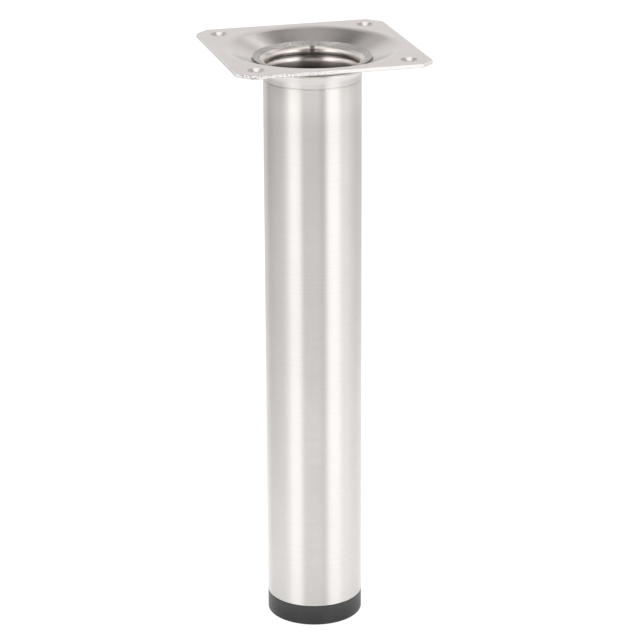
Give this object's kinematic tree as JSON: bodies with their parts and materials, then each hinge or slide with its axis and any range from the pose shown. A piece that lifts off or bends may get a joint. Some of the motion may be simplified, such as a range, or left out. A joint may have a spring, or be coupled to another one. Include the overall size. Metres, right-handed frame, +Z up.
{
  "type": "furniture leg",
  "caption": "Round stainless steel furniture leg with a square screw-on mounting plate, pressed in a deep dish round the flared tube end, and a black plastic levelling foot.",
  "frame": {"origin": "centre of the foot's underside, on the floor", "axes": "+Z up along the tube to the mounting plate, X and Y along the plate's sides"},
  "size_m": [0.1, 0.1, 0.31],
  "materials": {
    "satin_stainless": "satin stainless steel, lightly brushed",
    "zinc_plated_steel": "zinc plated steel, dull",
    "black_plastic": "moulded black plastic, matt"
  },
  "bodies": {
    "leg": {"mounting_plate": "satin_stainless", "leg_tube": "satin_stainless", "tube_insert": "black_plastic", "insert_nut": "zinc_plated_steel"},
    "stud": {"levelling_stud": "zinc_plated_steel"},
    "foot": {"foot": "black_plastic"}
  },
  "joints": [
    {"name": "stud_travel", "type": "slide", "parent": "leg", "child": "stud", "axis": [0, 0, -1], "range_m": [0, 0.01]},
    {"name": "foot_turn", "type": "hinge", "parent": "stud", "child": "foot", "pos_m": [0, 0, 0], "axis": [0, 0, -1], "range_deg": [0, 2400]}
  ],
  "couplings": [
    {"joint": "stud_travel", "follows": "foot_turn", "m_per_rad": 0.00023873}
  ]
}
